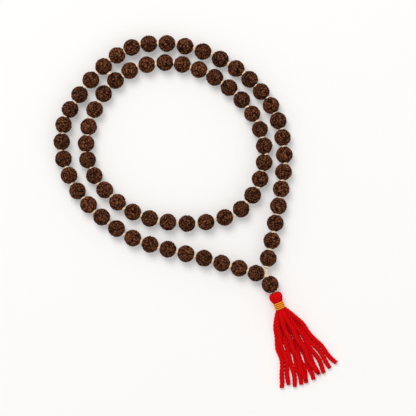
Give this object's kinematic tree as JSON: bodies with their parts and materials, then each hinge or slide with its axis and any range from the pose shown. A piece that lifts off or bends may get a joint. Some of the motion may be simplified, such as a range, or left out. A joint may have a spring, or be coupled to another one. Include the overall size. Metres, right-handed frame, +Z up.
{
  "type": "mala prayer beads",
  "caption": "Knotted mala laid as two tied rings of carved-looking seed beads, with a guru bead and a short yarn tassel; the beads spin and the rings fold.",
  "frame": {"origin": "under the middle of the beads' bounding box, on the surface that the beads lie on", "axes": "+Z up from that surface, +Y from the tassel towards the far side of the rings, +X to the right"},
  "size_m": [0.1416, 0.1756, 0.0084],
  "materials": {
    "seed": "natural dark brown seed with deep wandering ridges, satin on the ridges and dull in the clefts",
    "guru_seed": "the same seed, slightly larger, satin",
    "cord": "cream plied cotton cord, matte",
    "yarn": "bright red plied soft yarn, matte with a slight halo of fibres",
    "wrap_thread": "golden yellow binding thread, slightly lustrous"
  },
  "bodies": {
    "outer_ring": {"outer_cord": "cord", "ring_tie": "cord"},
    "outer_right": {"outer_right_cord": "cord"},
    "outer_left": {"outer_left_cord": "cord"},
    "inner_ring": {"inner_cord": "cord"},
    "inner_far": {"inner_far_cord": "cord"},
    "guru_knot": {"guru_knot": "cord"},
    "guru_cord": {"guru_cord": "cord"},
    "guru_bead": {"guru_bead": "guru_seed"},
    "tassel_knot": {"tassel_knot": "cord"},
    "tassel_loop": {"tassel_loop": "cord"},
    "tassel": {"tassel_head": "yarn", "tassel_wrap": "wrap_thread", "tassel_yarn_01": "yarn", "tassel_yarn_02": "yarn", "tassel_yarn_03": "yarn", "tassel_yarn_04": "yarn", "tassel_yarn_05": "yarn", "tassel_yarn_06": "yarn", "tassel_yarn_07": "yarn", "tassel_yarn_08": "yarn", "tassel_yarn_09": "yarn", "tassel_yarn_10": "yarn", "tassel_yarn_11": "yarn", "tassel_yarn_12": "yarn"},
    "outer_beads_01": {"outer_beads_01": "seed"},
    "outer_beads_02": {"outer_beads_02": "seed"},
    "outer_beads_03": {"outer_beads_03": "seed"},
    "outer_beads_04": {"outer_beads_04": "seed"},
    "outer_beads_05": {"outer_beads_05": "seed"},
    "outer_beads_06": {"outer_beads_06": "seed"},
    "outer_beads_07": {"outer_beads_07": "seed"},
    "outer_beads_08": {"outer_beads_08": "seed"},
    "outer_beads_09": {"outer_beads_09": "seed"},
    "outer_beads_10": {"outer_beads_10": "seed"},
    "outer_beads_11": {"outer_beads_11": "seed"},
    "outer_beads_12": {"outer_beads_12": "seed"},
    "outer_beads_13": {"outer_beads_13": "seed"},
    "outer_beads_14": {"outer_beads_14": "seed"},
    "outer_beads_15": {"outer_beads_15": "seed"},
    "outer_beads_16": {"outer_beads_16": "seed"},
    "outer_beads_17": {"outer_beads_17": "seed"},
    "outer_beads_18": {"outer_beads_18": "seed"},
    "outer_beads_19": {"outer_beads_19": "seed"},
    "outer_beads_20": {"outer_beads_20": "seed"},
    "inner_beads_01": {"inner_beads_01": "seed"},
    "inner_beads_02": {"inner_beads_02": "seed"},
    "inner_beads_03": {"inner_beads_03": "seed"},
    "inner_beads_04": {"inner_beads_04": "seed"},
    "inner_beads_05": {"inner_beads_05": "seed"},
    "inner_beads_06": {"inner_beads_06": "seed"},
    "inner_beads_07": {"inner_beads_07": "seed"},
    "inner_beads_08": {"inner_beads_08": "seed"},
    "inner_beads_09": {"inner_beads_09": "seed"},
    "inner_beads_10": {"inner_beads_10": "seed"},
    "inner_beads_11": {"inner_beads_11": "seed"},
    "inner_beads_12": {"inner_beads_12": "seed"},
    "inner_beads_13": {"inner_beads_13": "seed"},
    "inner_beads_14": {"inner_beads_14": "seed"},
    "inner_beads_15": {"inner_beads_15": "seed"}
  },
  "joints": [
    {"name": "outer_right_fold", "type": "hinge", "parent": "outer_ring", "child": "outer_right", "pos_m": [0.05017, -0.02936, 0.00405], "axis": [0.3271, -0.945, 0], "range_deg": [0, 25]},
    {"name": "outer_left_fold", "type": "hinge", "parent": "outer_ring", "child": "outer_left", "pos_m": [-0.04402, 0.04294, 0.00405], "axis": [-0.2576, 0.9662, 0], "range_deg": [0, 30]},
    {"name": "inner_ring_lift", "type": "hinge", "parent": "outer_ring", "child": "inner_ring", "pos_m": [-0.03156, 0.04952, 0.00665], "axis": [-0.7646, -0.6446, 0], "range_deg": [0, 60]},
    {"name": "inner_ring_fold", "type": "hinge", "parent": "inner_ring", "child": "inner_far", "pos_m": [-0.00719, -0.02423, 0.00405], "axis": [-0.7011, -0.713, 0], "range_deg": [0, 40]},
    {"name": "guru_swing", "type": "hinge", "parent": "outer_ring", "child": "guru_knot", "pos_m": [0.04663, -0.0514, 0.0042], "axis": [0, 0, 1], "range_deg": [-10, 35]},
    {"name": "guru_lift", "type": "hinge", "parent": "guru_knot", "child": "guru_cord", "pos_m": [0.04663, -0.0514, 0.0042], "axis": [-0.9135, -0.4067, 0], "range_deg": [0, 35]},
    {"name": "guru_spin", "type": "hinge", "parent": "guru_cord", "child": "guru_bead", "pos_m": [0.0485, -0.0556, 0.0042], "axis": [0.4067, -0.9135, 0], "continuous": true},
    {"name": "tassel_swing", "type": "hinge", "parent": "guru_cord", "child": "tassel_knot", "pos_m": [0.05027, -0.05957, 0.0042], "axis": [0, 0, 1], "range_deg": [-25, 25]},
    {"name": "tassel_lift", "type": "hinge", "parent": "tassel_knot", "child": "tassel_loop", "pos_m": [0.05027, -0.05957, 0.0042], "axis": [-0.9205, -0.3907, 0], "range_deg": [0, 30]},
    {"name": "tassel_twist", "type": "hinge", "parent": "tassel_loop", "child": "tassel", "pos_m": [0.05027, -0.05957, 0.0042], "axis": [0.3907, -0.9205, 0], "range_deg": [-90, 90]},
    {"name": "outer_spin_01", "type": "hinge", "parent": "outer_ring", "child": "outer_beads_01", "pos_m": [0.04839, -0.03811, 0.00405], "axis": [0.1988, 0.98, 0], "continuous": true},
    {"name": "outer_spin_02", "type": "hinge", "parent": "outer_right", "child": "outer_beads_02", "pos_m": [0.05181, -0.02073, 0.00405], "axis": [0.1871, 0.9823, 0], "continuous": true},
    {"name": "outer_spin_03", "type": "hinge", "parent": "outer_right", "child": "outer_beads_03", "pos_m": [0.05456, -0.00375, 0.00405], "axis": [0.1312, 0.9914, 0], "continuous": true},
    {"name": "outer_spin_04", "type": "hinge", "parent": "outer_right", "child": "outer_beads_04", "pos_m": [0.05506, 0.01333, 0.00405], "axis": [-0.1006, 0.9949, 0], "continuous": true},
    {"name": "outer_spin_05", "type": "hinge", "parent": "outer_right", "child": "outer_beads_05", "pos_m": [0.05067, 0.0298, 0.00405], "axis": [-0.4338, 0.901, 0], "continuous": true},
    {"name": "outer_spin_06", "type": "hinge", "parent": "outer_right", "child": "outer_beads_06", "pos_m": [0.04113, 0.04356, 0.00405], "axis": [-0.6844, 0.7291, 0], "continuous": true},
    {"name": "outer_spin_07", "type": "hinge", "parent": "outer_right", "child": "outer_beads_07", "pos_m": [0.02755, 0.05436, 0.00405], "axis": [-0.8587, 0.5125, 0], "continuous": true},
    {"name": "outer_spin_08", "type": "hinge", "parent": "outer_ring", "child": "outer_beads_08", "pos_m": [0.01053, 0.06183, 0.00405], "axis": [-0.9586, 0.2849, 0], "continuous": true},
    {"name": "outer_spin_09", "type": "hinge", "parent": "outer_ring", "child": "outer_beads_09", "pos_m": [-0.0075, 0.06442, 0.00405], "axis": [-0.9998, -0.0174, 0], "continuous": true},
    {"name": "outer_spin_10", "type": "hinge", "parent": "outer_ring", "child": "outer_beads_10", "pos_m": [-0.02417, 0.0605, 0.00405], "axis": [-0.8782, -0.4783, 0], "continuous": true},
    {"name": "outer_spin_11", "type": "hinge", "parent": "outer_ring", "child": "outer_beads_11", "pos_m": [-0.03769, 0.04967, 0.00405], "axis": [-0.6917, -0.7222, 0], "continuous": true},
    {"name": "outer_spin_12", "type": "hinge", "parent": "outer_left", "child": "outer_beads_12", "pos_m": [-0.04888, 0.03534, 0.00405], "axis": [-0.5447, -0.8386, 0], "continuous": true},
    {"name": "outer_spin_13", "type": "hinge", "parent": "outer_left", "child": "outer_beads_13", "pos_m": [-0.05497, 0.01978, 0.00405], "axis": [-0.1104, -0.9939, 0], "continuous": true},
    {"name": "outer_spin_14", "type": "hinge", "parent": "outer_left", "child": "outer_beads_14", "pos_m": [-0.05312, 0.00287, 0.00405], "axis": [0.3162, -0.9487, 0], "continuous": true},
    {"name": "outer_spin_15", "type": "hinge", "parent": "outer_left", "child": "outer_beads_15", "pos_m": [-0.04477, -0.01242, 0.00405], "axis": [0.6243, -0.7812, 0], "continuous": true},
    {"name": "outer_spin_16", "type": "hinge", "parent": "outer_left", "child": "outer_beads_16", "pos_m": [-0.0318, -0.02486, 0.00405], "axis": [0.7915, -0.6112, 0], "continuous": true},
    {"name": "outer_spin_17", "type": "hinge", "parent": "outer_ring", "child": "outer_beads_17", "pos_m": [-0.0157, -0.03406, 0.00405], "axis": [0.9398, -0.3417, 0], "continuous": true},
    {"name": "outer_spin_18", "type": "hinge", "parent": "outer_ring", "child": "outer_beads_18", "pos_m": [0.002, -0.03914, 0.00405], "axis": [0.9693, -0.2457, 0], "continuous": true},
    {"name": "outer_spin_19", "type": "hinge", "parent": "outer_ring", "child": "outer_beads_19", "pos_m": [0.01991, -0.04373, 0.00405], "axis": [0.9629, -0.2698, 0], "continuous": true},
    {"name": "outer_spin_20", "type": "hinge", "parent": "outer_ring", "child": "outer_beads_20", "pos_m": [0.03725, -0.04875, 0.00405], "axis": [0.9594, -0.2822, 0], "continuous": true},
    {"name": "inner_spin_01", "type": "hinge", "parent": "inner_ring", "child": "inner_beads_01", "pos_m": [0.00883, 0.05278, 0.00405], "axis": [-0.9559, 0.2936, 0], "continuous": true},
    {"name": "inner_spin_02", "type": "hinge", "parent": "inner_ring", "child": "inner_beads_02", "pos_m": [-0.0085, 0.05447, 0.00405], "axis": [-0.9931, -0.1172, 0], "continuous": true},
    {"name": "inner_spin_03", "type": "hinge", "parent": "inner_ring", "child": "inner_beads_03", "pos_m": [-0.02506, 0.04852, 0.00405], "axis": [-0.8202, -0.572, 0], "continuous": true},
    {"name": "inner_spin_04", "type": "hinge", "parent": "inner_ring", "child": "inner_beads_04", "pos_m": [-0.03677, 0.03553, 0.00405], "axis": [-0.4958, -0.8685, 0], "continuous": true},
    {"name": "inner_spin_05", "type": "hinge", "parent": "inner_ring", "child": "inner_beads_05", "pos_m": [-0.04263, 0.01883, 0.00405], "axis": [-0.1482, -0.989, 0], "continuous": true},
    {"name": "inner_spin_06", "type": "hinge", "parent": "inner_ring", "child": "inner_beads_06", "pos_m": [-0.04083, 0.00258, 0.00405], "axis": [0.3921, -0.9199, 0], "continuous": true},
    {"name": "inner_spin_07", "type": "hinge", "parent": "inner_ring", "child": "inner_beads_07", "pos_m": [-0.03078, -0.01156, 0.00405], "axis": [0.7245, -0.6893, 0], "continuous": true},
    {"name": "inner_spin_08", "type": "hinge", "parent": "inner_ring", "child": "inner_beads_08", "pos_m": [-0.01578, -0.02109, 0.00405], "axis": [0.9355, -0.3534, 0], "continuous": true},
    {"name": "inner_spin_09", "type": "hinge", "parent": "inner_far", "child": "inner_beads_09", "pos_m": [0.00225, -0.02486, 0.00405], "axis": [0.9971, -0.0754, 0], "continuous": true},
    {"name": "inner_spin_10", "type": "hinge", "parent": "inner_far", "child": "inner_beads_10", "pos_m": [0.02117, -0.02334, 0.00405], "axis": [0.9707, 0.2402, 0], "continuous": true},
    {"name": "inner_spin_11", "type": "hinge", "parent": "inner_far", "child": "inner_beads_11", "pos_m": [0.03686, -0.01456, 0.00405], "axis": [0.6395, 0.7688, 0], "continuous": true},
    {"name": "inner_spin_12", "type": "hinge", "parent": "inner_far", "child": "inner_beads_12", "pos_m": [0.04448, 0.00109, 0.00405], "axis": [0.2338, 0.9723, 0], "continuous": true},
    {"name": "inner_spin_13", "type": "hinge", "parent": "inner_far", "child": "inner_beads_13", "pos_m": [0.04442, 0.01761, 0.00405], "axis": [-0.2538, 0.9673, 0], "continuous": true},
    {"name": "inner_spin_14", "type": "hinge", "parent": "inner_ring", "child": "inner_beads_14", "pos_m": [0.03691, 0.03297, 0.00405], "axis": [-0.5988, 0.8009, 0], "continuous": true},
    {"name": "inner_spin_15", "type": "hinge", "parent": "inner_ring", "child": "inner_beads_15", "pos_m": [0.02442, 0.04505, 0.00405], "axis": [-0.8147, 0.5799, 0], "continuous": true}
  ]
}
